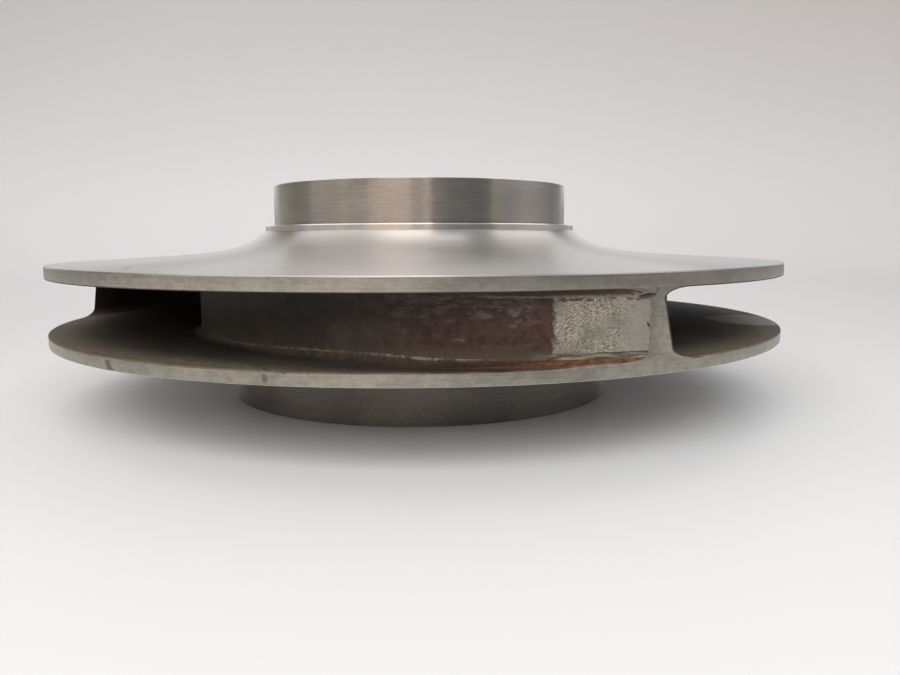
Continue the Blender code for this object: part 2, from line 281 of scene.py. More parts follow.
def ring_turns(row, columns):
    """Angles round one edge of the passages: each passage's level points, then the next vane's tip."""
    turns = []
    for number in range(VANES):
        level = walls[number][1][row, columns]
        end = walls[(number + 1) % VANES][1][row, columns[0]]
        end += math.tau * np.round((level[-1] - end) / math.tau)
        turns += [level, np.linspace(level[-1], end, TIP_COLUMNS + 1)[1:-1]]
    return np.concatenate(turns)


suction_columns = np.arange(LEVEL_POINTS)
hub_columns = np.arange(LEVEL_POINTS + SIDE_POINTS, 2 * LEVEL_POINTS + SIDE_POINTS)[::-1]
suction_turns = ring_turns(-1, suction_columns)
back_turns = ring_turns(-1, hub_columns)

# The shrouds outside. Both are faced on a lathe: a slight cone that sweeps up in a hollow to a thin
# shoulder, which the wear ring is pushed against. The rims' outer edges are barely broken.
SUCTION_RIM_BOTTOM = 0.0306
BACK_RIM_TOP = 0.0623
SHROUD_CONE = 0.048
HOLLOW_RISE = 0.0094
HOLLOW_LENGTH = 0.0110
SUCTION_HOLLOW_RISE = 0.0060
LEDGE_RADIUS = 0.0742
LEDGE_HEIGHT = 0.0786
SUCTION_LEDGE_RADIUS = 0.0940
SUCTION_LEDGE_HEIGHT = 0.0190
EDGE_BREAK = 0.0004
KEEN_EDGE = 0.0001
SHROUD_POINTS = 56
PROFILE_STEP = 0.005


def shroud_outside(ledge_radius, rise, edge):
    """(radius, swell) from the shoulder to the rim's edge: an exponential hollow on a slight cone."""
    radius = ledge_radius + (RIM_RADIUS - edge - ledge_radius) * np.linspace(0.0, 1.0, SHROUD_POINTS) ** 1.8
    swell = SHROUD_CONE * (RIM_RADIUS - radius) + rise * np.exp((ledge_radius - radius) / HOLLOW_LENGTH)
    return radius, swell


# The hub and the collars. The hub is bored and keyed for the shaft, and each collar carries a wear ring.
# Three balance holes let the pressure behind the impeller out into the eye.
BORE_RADIUS = 0.0190
KEY_WIDTH = 0.0100
KEY_DEPTH = 0.0033
BOSS_RADIUS = 0.0360
BOSS_TOP = 0.0880
RECESS_FLOOR = 0.0620
RECESS_FILLET = 0.0040
BACK_COLLAR_RADIUS = 0.0620
BACK_COLLAR_BORE = 0.0560
BACK_COLLAR_TOP = 0.0960
SUCTION_COLLAR_RADIUS = 0.0840
SUCTION_COLLAR_BOTTOM = 0.0010
HUB_CHAMFER = 0.0015
BALANCE_HOLES = 3
BALANCE_HOLE_RADIUS = 0.0060
BALANCE_HOLE_CIRCLE = 0.0460
BALANCE_HOLE_TURN = math.radians(-20.0)
LOCK_SCREWS = 3
SCREW_HOLE_RADIUS = 0.0028
SCREW_HOLE_DEPTH = 0.0103
BACK_SCREW_TURN = math.radians(35.0)
SUCTION_SCREW_TURN = math.radians(80.0)
BACK_SCREW_HEAD = 0.0952
SUCTION_SCREW_HEAD = 0.0018


def corner(centre, radius, first, last, count=6):
    """Points of an arc, by its centre and its first and last angle in degrees."""
    angle = np.radians(np.linspace(first, last, count))
    return [(centre[0] + radius * math.cos(a), centre[1] + radius * math.sin(a)) for a in angle]


radius, swell = shroud_outside(LEDGE_RADIUS, HOLLOW_RISE, EDGE_BREAK)
floor_fillet = RECESS_FLOOR + RECESS_FILLET
back_profile = subdivide([
    (NOSE_RADIUS, NOSE_BOTTOM),
    (BORE_RADIUS + EDGE_BREAK, NOSE_BOTTOM),
    (BORE_RADIUS, NOSE_BOTTOM + EDGE_BREAK),
    (BORE_RADIUS, BOSS_TOP - HUB_CHAMFER),
    (BORE_RADIUS + HUB_CHAMFER, BOSS_TOP),
    (BOSS_RADIUS - HUB_CHAMFER, BOSS_TOP),
    (BOSS_RADIUS, BOSS_TOP - HUB_CHAMFER),
    *corner((BOSS_RADIUS + RECESS_FILLET, floor_fillet), RECESS_FILLET, 180, 270),
    *corner((BACK_COLLAR_BORE - RECESS_FILLET, floor_fillet), RECESS_FILLET, 270, 360),
    (BACK_COLLAR_BORE, BACK_COLLAR_TOP - EDGE_BREAK),
    (BACK_COLLAR_BORE + EDGE_BREAK, BACK_COLLAR_TOP),
    (BACK_COLLAR_RADIUS - EDGE_BREAK, BACK_COLLAR_TOP),
    (BACK_COLLAR_RADIUS, BACK_COLLAR_TOP - EDGE_BREAK),
    (BACK_COLLAR_RADIUS, LEDGE_HEIGHT),
], PROFILE_STEP)
ledge_profile = [
    (BACK_COLLAR_RADIUS, LEDGE_HEIGHT),
    (LEDGE_RADIUS - EDGE_BREAK, LEDGE_HEIGHT),
    (LEDGE_RADIUS, LEDGE_HEIGHT - EDGE_BREAK),
    (radius[0], BACK_RIM_TOP + swell[0]),
]
hollow_profile = subdivide([
    *zip(radius, BACK_RIM_TOP + swell),
    (RIM_RADIUS, BACK_RIM_TOP - EDGE_BREAK),
    (RIM_RADIUS, BACK_FACE + RIM_EDGE),
], PROFILE_STEP)
radius, swell = shroud_outside(SUCTION_LEDGE_RADIUS, SUCTION_HOLLOW_RISE, KEEN_EDGE)
suction_profile = subdivide([
    (RIM_RADIUS, SUCTION_FACE - RIM_EDGE),
    (RIM_RADIUS, SUCTION_RIM_BOTTOM + KEEN_EDGE),
    *list(zip(radius, SUCTION_RIM_BOTTOM - swell))[::-1],
    (SUCTION_LEDGE_RADIUS, SUCTION_LEDGE_HEIGHT + EDGE_BREAK),
    (SUCTION_LEDGE_RADIUS - EDGE_BREAK, SUCTION_LEDGE_HEIGHT),
    (SUCTION_COLLAR_RADIUS, SUCTION_LEDGE_HEIGHT),
    (SUCTION_COLLAR_RADIUS, SUCTION_COLLAR_BOTTOM + EDGE_BREAK),
    (SUCTION_COLLAR_RADIUS - EDGE_BREAK, SUCTION_COLLAR_BOTTOM),
    (EYE_RADIUS + EDGE_BREAK, SUCTION_COLLAR_BOTTOM),
    (EYE_RADIUS, SUCTION_COLLAR_BOTTOM + EDGE_BREAK),
], PROFILE_STEP)

# The eye and the hub's nose, cast as one with the shrouds. Upstream of the vanes the two shroud curves run
# on from the leading edges: the suction side into the eye's bell, the back side into the nose.
start = math.acos((BELL_RADIUS - EDGE_AT_EYE) / (BELL_RADIUS - EYE_RADIUS))
arc = np.linspace(start, 0.0, 12)
bell_curve = zip(
    BELL_RADIUS - (BELL_RADIUS - EYE_RADIUS) * np.cos(arc),
    BELL_START + (SUCTION_FACE - BELL_START) * np.sin(arc),
)
bell_profile = subdivide([*bell_curve, (EYE_RADIUS, SUCTION_COLLAR_BOTTOM + EDGE_BREAK)], PROFILE_STEP)
start = math.acos((FLARE_RADIUS - EDGE_AT_HUB) / (FLARE_RADIUS - NOSE_RADIUS))
arc = np.linspace(start, 0.0, 22)
flare_profile = np.stack([
    FLARE_RADIUS - (FLARE_RADIUS - NOSE_RADIUS) * np.cos(arc),
    NOSE_BOTTOM + (BACK_FACE - NOSE_BOTTOM) * np.sin(arc),
], axis=-1)


def swirl(first, last, rows):
    """Rows of angles that turn evenly from one ring to another, each vane's to the nearest vane's."""
    pitches = int(np.round((last - first).mean() / PITCH))
    nearest = np.roll(last, pitches * len(last) // VANES)
    last = nearest + math.tau * np.round((last - PITCH * pitches - nearest) / math.tau)
    share = np.linspace(0.0, 1.0, rows)[:, None]
    return first[None, :] * (1 - share) + last[None, :] * share


# What is cut out of the casting. The keyway is broached, and the balance holes are drilled and countersunk
# from behind. The lock screws' holes are drilled half in the collar and half in the ring.
CUTTER_SIDES = 48
PAST_THE_END = 0.2
COUNTERSINK = 0.0005


def rod(radius, low, high, flare=0.0):
    """A closed cylinder on the axis; flare widens its top end as a countersink's cone."""
    top = high + flare
    profile = [(0.0, low), (radius, low), (radius, high - flare), (radius + 2 * flare, top), (0.0, top)]
    turns = np.linspace(0.0, math.tau, CUTTER_SIDES, endpoint=False)
    return mesh_from_grids("cutter", [(revolve(profile, turns), True, 0, None)])


def lens(half_sizes, turn, centre_radius, height, tilt=0.0, sweep=0.0):
    """An ellipsoid: half sizes round the axis, up, and inward, then its angle and radius round the axis and
    its height. Tilt turns it in the rim's face and sweep about its own upright, all in degrees."""
    across, up, inward = half_sizes
    mesh = bpy.data.meshes.new("cutter")
    shape = bmesh.new()
    bmesh.ops.create_icosphere(shape, subdivisions=3, radius=1.0)
    shape.transform(Matrix.Diagonal((inward, across, up, 1.0)))
    shape.transform(Matrix.Rotation(math.radians(tilt), 4, "X"))
    shape.transform(Matrix.Rotation(math.radians(sweep), 4, "Z"))
    shape.transform(Matrix.Translation((centre_radius, 0.0, height)))
    shape.transform(Matrix.Rotation(math.radians(turn), 4, "Z"))
    for face in shape.faces:
        face.material_index = FLAW
    shape.to_mesh(mesh)
    shape.free()
    return mesh


def around(count, circle, first):
    """Places evenly round the axis."""
    turns = first + math.tau * np.arange(count) / count
    return [(circle * math.cos(a), circle * math.sin(a), 0.0) for a in turns]


def cut(obj, cutters):
    """Cuts meshes out of a piece and applies the cuts; a cutter may be moved to a place."""
    tools = []
    for mesh, where in cutters:
        tool = put("cutter", mesh)
        tool.location = where
        modifier = obj.modifiers.new("cut", "BOOLEAN")
        modifier.operation = "DIFFERENCE"
        modifier.solver = "EXACT"
        modifier.object = tool
        tools.append(tool)
    result = obj.evaluated_get(bpy.context.evaluated_depsgraph_get())
    obj.data = bpy.data.meshes.new_from_object(result)
    obj.modifiers.clear()
    for tool in tools:
        bpy.data.objects.remove(tool, do_unlink=True)
    obj.data.set_sharp_from_angle(angle=math.radians(SHARP_OVER))


TURNED, CAST, RIM, FLAW, LEDGE = 0, 1, 2, 3, 4
grids = [(points, True, CAST, flow) for points, turn, flow in walls]
grids += [(points, False, RIM, flow) for points, flow in tips]
eye_ring = ring_turns(0, suction_columns)
hub_ring = ring_turns(0, hub_columns)
grids += [
    (revolve(bell_profile, swirl(eye_ring, suction_turns, len(bell_profile))), True, CAST, None),
    (revolve(flare_profile, swirl(hub_ring, back_turns, len(flare_profile))), True, CAST, None),
    (revolve(back_profile, back_turns), True, TURNED, None),
    (revolve(ledge_profile, back_turns), True, LEDGE, None),
    (revolve(hollow_profile[:-1], back_turns), True, TURNED, None),
    (revolve(hollow_profile[-2:], back_turns), True, RIM, None),
    (revolve(suction_profile[:2], suction_turns), True, RIM, None),
    (revolve(suction_profile[1:], suction_turns), True, TURNED, None),
]
edge_heights = []
for number in range(VANES):
    edge_heights += [walls[number][0][-1, suction_columns, 2], tips[(number + 1) % VANES][0][0, 1:-1, 2]]
grids[-2][0][0, :, 2] = np.concatenate(edge_heights)
casting = place("impeller_body", mesh_from_grids("impeller_body", grids))
keyway = bpy.data.meshes.new("cutter")
shape = bmesh.new()
key_reach = BORE_RADIUS + KEY_DEPTH
bmesh.ops.create_cube(shape, size=1.0, matrix=Matrix.Diagonal((key_reach, KEY_WIDTH, PAST_THE_END, 1.0)))
shape.transform(Matrix.Translation((key_reach / 2, 0.0, 0.05)))
shape.to_mesh(keyway)
shape.free()
balance_hole = rod(BALANCE_HOLE_RADIUS, NOSE_BOTTOM, RECESS_FLOOR, COUNTERSINK)
back_screw_hole = rod(SCREW_HOLE_RADIUS, BACK_SCREW_HEAD - SCREW_HOLE_DEPTH, PAST_THE_END)
suction_screw_hole = rod(SCREW_HOLE_RADIUS, -0.1, SUCTION_SCREW_HEAD + SCREW_HOLE_DEPTH)
back_screws = around(LOCK_SCREWS, BACK_COLLAR_RADIUS, BACK_SCREW_TURN)
suction_screws = around(LOCK_SCREWS, SUCTION_COLLAR_RADIUS, SUCTION_SCREW_TURN)
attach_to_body(casting, "root")
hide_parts("impeller_casting")

# The casting's skin. The steel is dark with scale and rust in the waterways, where the sand left it rough,
# and bare where a lathe has faced it. A hand grinder has cleaned the end of each vane. Each finish is built
# from nodes on Object coordinates, and on the passages' own flow.
LATHE_PITCH = 0.00028


def plug(node, inputs):
    """Fills a node's inputs: a socket's name or number, to a value or to another node's socket."""
    for name, value in inputs.items():
        if isinstance(value, bpy.types.NodeSocket):
            node.id_data.links.new(value, node.inputs[name])
        else:
            node.inputs[name].default_value = value


def attach(kind, inputs, tree=None, **settings):
    """Adds a shader node with its inputs, to the tree that the first socket among them is in."""
    if tree is None:
        tree = next(value.id_data for value in inputs.values() if isinstance(value, bpy.types.NodeSocket))
    node = tree.nodes.new("ShaderNode" + kind)
    for name, value in settings.items():
        setattr(node, name, value)
    plug(node, inputs)
    return node


def calc(operation, *values):
    """One sum of one, two or three values."""
    return attach("Math", dict(enumerate(values)), operation=operation).outputs[0]


def times(*values):
    """The product of some values."""
    return reduce(lambda first, second: calc("MULTIPLY", first, second), values)


def plus(*values):
    """The total of some values."""
    return reduce(lambda first, second: calc("ADD", first, second), values)


def minus(first, second):
    """The first value less the second."""
    return calc("SUBTRACT", first, second)


def higher(*values):
    """The highest of some values."""
    return reduce(lambda first, second: calc("MAXIMUM", first, second), values)


def fade(value, low, high):
    """0 below low and 1 above high, smooth between; falls where high is under low."""
    flip = high < low
    inputs = {"Value": value, "From Min": min(low, high), "From Max": max(low, high)}
    inputs |= {"To Min": float(flip), "To Max": float(not flip)}
    return attach("MapRange", inputs, interpolation_type="SMOOTHSTEP").outputs[0]


def window(value, start, full, still, end):
    """0 up to start, 1 from full to still, and 0 again past end."""
    return times(fade(value, start, full), fade(value, end, still))


def band(value, middle, reach, core):
    """A fade by the distance from a middle: 1 within core and 0 beyond reach, or the other way round."""
    return fade(calc("ABSOLUTE", minus(value, middle)), reach, core)


def vector(operation, *values):
    """One sum of vectors."""
    return attach("VectorMath", dict(enumerate(values)), operation=operation).outputs[0]


def stretch(where, x, y, z):
    """Coordinates multiplied by three numbers."""
    return vector("MULTIPLY", where, (x, y, z))


def length(where):
    """A vector's length."""
    return attach("VectorMath", {0: where}, operation="LENGTH").outputs["Value"]


def grain(where, scale, detail=4.0, roughness=0.6, distortion=0.0):
    """Noise from 0 to 1."""
    inputs = {"Vector": where, "Scale": scale, "Detail": detail, "Roughness": roughness}
    return attach("TexNoise", inputs | {"Distortion": distortion}).outputs["Fac"]


def coat(under, over, *shares):
    """One colour laid over another, by the product of some shares."""
    inputs = {"Factor": times(*shares)}
    for name, value in ((6, under), (7, over)):
        inputs[name] = (*value, 1.0) if isinstance(value, tuple) else value
    return attach("Mix", inputs, data_type="RGBA").outputs[2]


def value_mix(share, first, second):
    """The second value laid over the first, by a share."""
    return attach("Mix", {"Factor": share, "A": first, "B": second}).outputs[0]


def bump(height, depth, under=None):
    """A relief of a real depth in metres, on another one or alone."""
    inputs = {"Height": height, "Distance": depth, "Strength": 1.0}
    if under is not None:
        inputs["Normal"] = under
    return attach("Bump", inputs).outputs[0]


def spot(where, centre, size):
    """1 at a place and 0 beyond its size, in metres along X, Y and Z."""
    return fade(length(vector("DIVIDE", vector("SUBTRACT", where, centre), size)), 1.0, 0.35)


def new_finish(name):
    """A plain material: itself, its Principled shader and its Object coordinates."""
    material = bpy.data.materials.new(name)
    material.use_nodes = True
    where = attach("TexCoord", {}, material.node_tree).outputs["Object"]
    return material, material.node_tree.nodes["Principled BSDF"], where


def lathe_marks(where):
    """Tool marks of a lathe: noise fine along the profile and long round the axis. Also the tangent."""
    flat = stretch(where, 1.0, 1.0, 0.0)
    height = attach("SeparateXYZ", {0: where}).outputs["Z"]
    rise = attach("CombineXYZ", {"Z": calc("DIVIDE", height, LATHE_PITCH)}).outputs[0]
    inputs = {"Vector": vector("ADD", stretch(vector("NORMALIZE", flat), 7.0, 7.0, 0.0), rise)}
    inputs |= {"W": calc("DIVIDE", length(flat), LATHE_PITCH), "Scale": 1.0, "Detail": 3.0}
    marks = attach("TexNoise", inputs, noise_dimensions="4D").outputs["Fac"]
    return marks, vector("CROSS_PRODUCT", (0.0, 0.0, 1.0), flat)


def turned_finish(name, light, dark, roughness, anisotropy, depth):
    """Turned steel: fine rings, long soft stains, and gloss drawn out across the rings."""
    material, shader, where = new_finish(name)
    marks, tangent = lathe_marks(where)
    stains = grain(stretch(where, 1.0, 1.0, 2.5), 14.0, 5.0, 0.62, 0.4)
    scuffs = grain(stretch(where, 1.0, 1.0, 1.6), 620.0, 4.0, 0.7)
    share = plus(times(stains, 0.5), times(marks, 0.3), times(scuffs, 0.2))
    plug(shader, {
        "Base Color": coat(dark, light, fade(share, 0.36, 0.64)),
        "Roughness": plus(times(marks, 0.07), roughness - 0.075, times(stains, 0.08)),
        "Tangent": tangent,
        "Normal": bump(marks, depth),
        "Metallic": 1.0,
        "Anisotropic": anisotropy,
        "Anisotropic Rotation": 0.25,
    })
    return material


shroud_steel = turned_finish("turned_shroud", (0.68, 0.66, 0.64), (0.60, 0.58, 0.56), 0.30, 0.93, 0.0000015)
ledge_steel = turned_finish("turned_ledge", (0.93, 0.92, 0.90), (0.85, 0.84, 0.82), 0.22, 1.0, 0.0000025)


def flow_of(where):
    """The passages' own coordinates: metres along the vane from the rim, share of the height, and metres
    from the vane behind and from the vane ahead. Then the first two as a flat vector in metres."""
    flow = attach("Attribute", {}, where.id_data, attribute_name="flow").outputs["Vector"]
    along, level, behind = attach("SeparateXYZ", {0: flow}).outputs
    ahead = attach("Attribute", {}, where.id_data, attribute_name="ahead").outputs["Fac"]
    return along, level, behind, ahead, stretch(flow, 1.0, BACK_FACE - SUCTION_FACE, 0.0)


def ground_metal(laid):
    """Metal bared with a hand grinder: fine short slanting strokes that swirl, and small dark pits in
    groups. Gives its colour and its relief."""
    drift = attach("TexNoise", {"Vector": laid, "Scale": 150.0, "Detail": 1.0}).outputs["Color"]
    drift = stretch(vector("SUBTRACT", drift, (0.5, 0.5, 0.5)), 0.0045, 0.0045, 0.0)
    inputs = {"Vector": vector("ADD", laid, drift), "Angle": math.radians(38.0)}
    slanted = attach("VectorRotate", inputs, rotation_type="Z_AXIS").outputs[0]
    strokes = grain(stretch(slanted, 1050.0, 2800.0, 0.0), 1.0, 2.0, 0.6)
    pits = fade(grain(stretch(slanted, 1500.0, 2300.0, 0.0), 1.0, 2.0, 0.5), 0.46, 0.36)
    pits = times(pits, fade(grain(laid, 260.0, 3.0, 0.6), 0.40, 0.56))
    dull = fade(grain(laid, 85.0, 3.0), 0.42, 0.60)
    colour = coat((0.160, 0.142, 0.114), (0.400, 0.367, 0.300), fade(strokes, 0.32, 0.68))
    colour = coat(colour, (0.155, 0.143, 0.125), dull, 0.55)
    colour = coat(colour, (0.045, 0.036, 0.028), pits, 0.80)
    return colour, minus(strokes, pits)


def cast_finish():
    """The cast skin of the waterways: dark scale, rust towards the vane tips, chalky scale, and a ground
    patch behind each vane tip where the metal shows, pitted."""
    material, shader, where = new_finish("cast_waterway")
    along, level, behind, ahead, laid = flow_of(where)
    mottle = grain(where, 45.0, 6.0, 0.65)
    speck = grain(where, 420.0, 5.0, 0.7)
    on_vane = fade(ahead, 0.0038, 0.0030)
    in_corner = fade(ahead, 0.006, 0.004)
    nearest = calc("MINIMUM", behind, ahead)
    on_floor = times(fade(level, 0.05, 0.0), fade(nearest, 0.001, 0.006))
    uneven = minus(mottle, 0.5)
    reach = plus(along, times(uneven, 0.05))
    ragged = times(minus(speck, 0.5), 0.006)
    ragged_level = plus(level, times(ragged, 12.0))

    # Dark scale all over, paler far in as painted fill light, and rust on the vane towards its tip.
    scale = coat((0.028, 0.025, 0.022), (0.054, 0.043, 0.035), fade(mottle, 0.35, 0.7))
    scale = coat(scale, (0.085, 0.068, 0.055), fade(speck, 0.5, 0.7), 0.5)
    # The paler scale far in is painted fill light: it lifts the deep, shaded end of each passage.
    scale = coat(scale, (0.090, 0.080, 0.068), fade(along, 0.12, 0.17), 0.6)
    rust = coat((0.020, 0.0097, 0.0077), (0.049, 0.024, 0.0187), fade(speck, 0.3, 0.7))
    colour = coat(scale, rust, on_vane, fade(reach, 0.11, 0.045))

    # Chalky scale on the back of the vane behind. On the floor, painted shade by the vane ahead, olive wear
    # towards the rim, and one place rubbed pale.
    colour = coat(colour, (0.150, 0.146, 0.142), fade(behind, 0.0038, 0.0030), fade(along, 0.03, 0.08), 0.7)
    # A dark colour on the floor near the vane ahead is painted shade, deepening the passage's shadow.
    colour = coat(colour, (0.014, 0.012, 0.010), on_floor, fade(ahead, 0.055, 0.020), 0.55)
    olive = coat((0.060, 0.050, 0.034), (0.125, 0.108, 0.078), fade(speck, 0.3, 0.7))
    colour = coat(colour, olive, fade(reach, 0.070, 0.012), on_floor, fade(ahead, 0.012, 0.034), 0.75)
    rubbed = spot(where, (0.151, -0.034, SUCTION_FACE), (0.026, 0.034, 0.006))
    rubbed = fade(plus(rubbed, times(uneven, 1.6)), 0.35, 0.80)
    colour = coat(colour, (0.21, 0.20, 0.18), rubbed, on_floor, 0.9)

    # Pale crusts flecked over the rust, a dull film along the foot of the vane, and a pale seam under it.
    flecks = fade(grain(stretch(laid, 1300.0, 2000.0, 0.0), 1.0, 3.0, 0.6), 0.44, 0.60)
    flecks = plus(times(flecks, 0.45), 0.55)
    clusters = grain(stretch(laid, 170.0, 440.0, 0.0), 1.0, 6.0, 0.74)
    clusters = fade(plus(clusters, times(fade(level, 0.45, 0.80), 0.12)), 0.55, 0.70)
    patch = window(along, 0.022, 0.030, 0.066, 0.086)
    colour = coat(colour, (0.128, 0.106, 0.082), flecks, clusters, patch, on_vane, 0.66)
    film = times(window(level, 0.045, 0.075, 0.15, 0.27), fade(along, 0.105, 0.070), on_vane)
    colour = coat(colour, (0.040, 0.033, 0.022), film, flecks)
    rise = window(along, 0.050, 0.078, 0.095, 0.135)
    broken = fade(grain(where, 420.0, 4.0, 0.8), 0.42, 0.56)
    seam = times(band(level, plus(0.058, times(rise, 0.040)), 0.022, 0.008), broken)
    seam = times(seam, window(along, 0.030, 0.046, 0.15, 0.17))
    colour = coat(colour, (0.20, 0.185, 0.155), seam, value_mix(fade(along, 0.06, 0.09), 0.48, 0.32))

    # The ground patch, with ragged edges, and smoother right by the tip.
    bared = times(fade(plus(along, ragged), 0.0222, 0.0204), on_vane)
    bared = times(bared, fade(ragged_level, 0.125, 0.155), fade(ragged_level, 0.955, 0.880))
    steel, strokes = ground_metal(laid)
    steel = coat(steel, (0.268, 0.256, 0.228), fade(along, 0.009, 0.001), 0.7)
    colour = coat(colour, steel, bared)

    # Below the patch, a streaky foot between two dark lines, and an orange deposit in the corner.
    streaky = fade(grain(stretch(laid, 130.0, 900.0, 0.0), 1.0, 4.0, 0.7), 0.42, 0.58)
    stain = coat((0.038, 0.030, 0.021), (0.16, 0.145, 0.105), streaky)
    foot = times(fade(level, 0.055, 0.080), fade(ragged_level, 0.170, 0.130), fade(along, 0.030, 0.016))
    colour = coat(colour, stain, foot, in_corner, 0.85)
    upper_line = times(band(level, 0.152, 0.012, 0.004), fade(along, 0.013, 0.008), on_vane)
    lower_line = times(band(level, 0.052, 0.014, 0.004), window(along, 0.016, 0.022, 0.040, 0.060))
    lines = higher(upper_line, times(lower_line, in_corner))
    colour = coat(colour, (0.024, 0.019, 0.014), lines, 0.8)
    top = minus(0.070, times(higher(along, 0.0), 1.3))
    orange = fade(minus(plus(level, times(ragged, 4.0)), top), 0.010, -0.010)
    orange = times(orange, fade(along, 0.040, 0.018), fade(ahead, 0.016, 0.010))
    deposit = coat((0.042, 0.020, 0.012), (0.125, 0.054, 0.024), fade(speck, 0.35, 0.65))
    far = higher(fade(along, 0.015, 0.032), fade(ahead, 0.006, 0.0115))
    deposit = coat(deposit, (0.018, 0.012, 0.009), far)
    colour = coat(colour, deposit, orange, 0.92)

    # Above the patch, rust up to the roof with a pale line in it, and a rusty margin. Rust on the lip.
    roof = coat((0.024, 0.014, 0.009), (0.060, 0.032, 0.020), fade(speck, 0.35, 0.65))
    roof = coat(roof, (0.029, 0.021, 0.014), fade(along, 0.018, 0.034))
    colour = coat(colour, roof, fade(ragged_level, 0.925, 0.960), fade(along, 0.070, 0.040), 0.85)
    pale = times(band(ragged_level, 0.905, 0.020, 0.008), window(along, 0.018, 0.022, 0.036, 0.046))
    colour = coat(colour, (0.17, 0.15, 0.11), pale, on_vane, 0.6)
    margin = fade(grain(stretch(laid, 330.0, 500.0, 0.0), 1.0, 3.0), 0.44, 0.54)
    margin = times(band(ragged_level, 0.875, 0.038, 0.014), margin, fade(along, 0.0212, 0.0192))
    colour = coat(colour, (0.060, 0.026, 0.018), margin, on_vane, 0.85)
    lip = times(fade(along, 0.0040, 0.0008), fade(mottle, 0.42, 0.58), fade(nearest, 0.001, 0.004))
    colour = coat(colour, (0.12, 0.075, 0.048), lip, fade(level, 0.6, 0.4), 0.7)

    relief = bump(plus(speck, times(mottle, 2.0)), 0.00035)
    fine = grain(where, 1500.0, 2.0, 0.6)
    plug(shader, {
        "Base Color": colour,
        "Metallic": times(bared, 0.6),
        "Roughness": value_mix(bared, plus(0.60, times(speck, 0.28)), 0.48),
        "Normal": bump(plus(fine, times(strokes, bared)), 0.00008, relief),
    })
    return material


RIM_DRIPS = (
    ((-0.1014, -0.1302, 0.0331), (0.0030, 0.0030, 0.0018)),
    ((-0.1010, -0.1305, 0.0320), (0.0024, 0.0024, 0.0016)),
    ((-0.1002, -0.1311, 0.0309), (0.0028, 0.0028, 0.0014)),
    ((-0.0454, -0.1586, 0.0335), (0.0011, 0.0011, 0.0011)),
    ((-0.0452, -0.1586, 0.0326), (0.0016, 0.0016, 0.0020)),
    ((-0.0393, -0.1602, 0.0346), (0.0010, 0.0010, 0.0008)),
    ((-0.0323, -0.1618, 0.0346), (0.0008, 0.0008, 0.0007)),
)


def rim_finish():
    """The turned rims and vane tips: duller than the faces, rusty along the edges of the waterways, most of
    all by the vane tips, with a few dark drips. The ground patch runs on over the first of each tip."""
    material, shader, where = new_finish("turned_rim")
    along, level, _, _, laid = flow_of(where)
    marks, tangent = lathe_marks(where)
    mottle = grain(where, 48.0, 6.0, 0.72)
    speck = grain(where, 900.0, 4.0, 0.7)
    blotch = grain(stretch(where, 1.0, 1.0, 2.0), 330.0, 4.0, 0.7)
    share = plus(times(mottle, 0.45), times(marks, 0.25), times(blotch, 0.30))
    colour = coat((0.288, 0.271, 0.231), (0.500, 0.475, 0.409), fade(share, 0.36, 0.64))
    x, y, height = attach("SeparateXYZ", {0: where}).outputs
    turn = minus(calc("ARCTAN2", y, x), VANE_TURN)
    by_vane = fade(calc("COSINE", times(turn, float(VANES))), 0.0, 0.85)
    colour = coat(colour, (0.20, 0.195, 0.175), by_vane, fade(height, BACK_FACE - 0.004, BACK_FACE), 0.45)
    steel, strokes = ground_metal(laid)
    over_tip = minus(0.0, along)
    on_tip = fade(over_tip, 0.0, 0.0002)
    ground = times(on_tip, fade(over_tip, 0.0050, 0.0005))
    colour = coat(colour, steel, ground, 0.6)

    # Rust along both edges of the mouths, in dots, and on the keen edge of each tip. Then the drips.
    floor_edge = times(band(height, SUCTION_FACE - 0.0001, 0.0005, 0.0002), 0.8)
    roof_edge = times(band(height, BACK_FACE + 0.0002, 0.0007, 0.0002), by_vane)
    edge = times(higher(floor_edge, roof_edge), minus(1.0, on_tip), fade(blotch, 0.44, 0.58), 0.8)
    dots = times(fade(speck, 0.60, 0.70), fade(mottle, 0.50, 0.62), plus(0.35, times(by_vane, 0.5)))
    keen = times(fade(over_tip, 0.0011, 0.0003), on_tip, fade(blotch, 0.40, 0.60), fade(level, 0.35, 0.55))
    rusty = higher(edge, dots, keen)
    colour = coat(colour, (0.15, 0.095, 0.055), rusty, 0.75)
    drips = higher(*(spot(where, centre, size) for centre, size in RIM_DRIPS))
    colour = coat(colour, (0.045, 0.040, 0.022), drips, 0.85)

    marked = higher(rusty, drips)
    relief = bump(minus(marks, marked), 0.000008)
    plug(shader, {
        "Base Color": colour,
        "Metallic": minus(1.0, times(marked, 0.7)),
        "Roughness": value_mix(marked, plus(times(mottle, 0.16), 0.28), 0.7),
        "Tangent": tangent,
        "Normal": bump(times(strokes, ground), 0.00004, relief),
        "Anisotropic": 0.7,
        "Anisotropic Rotation": 0.25,
    })
    return material


def flaw_finish():
    """The bottoms of sand flaws and knocks: dark scale that the turning didn't reach."""
    material, shader, where = new_finish("sand_flaw")
    speck = grain(where, 1200.0, 4.0, 0.7)
    colour = coat((0.035, 0.028, 0.022), (0.10, 0.075, 0.055), speck)
    plug(shader, {"Base Color": colour, "Roughness": 0.8, "Normal": bump(speck, 0.0001)})
    return material


for finish in (shroud_steel, cast_finish(), rim_finish(), flaw_finish(), ledge_steel):
    casting.data.materials.append(finish)

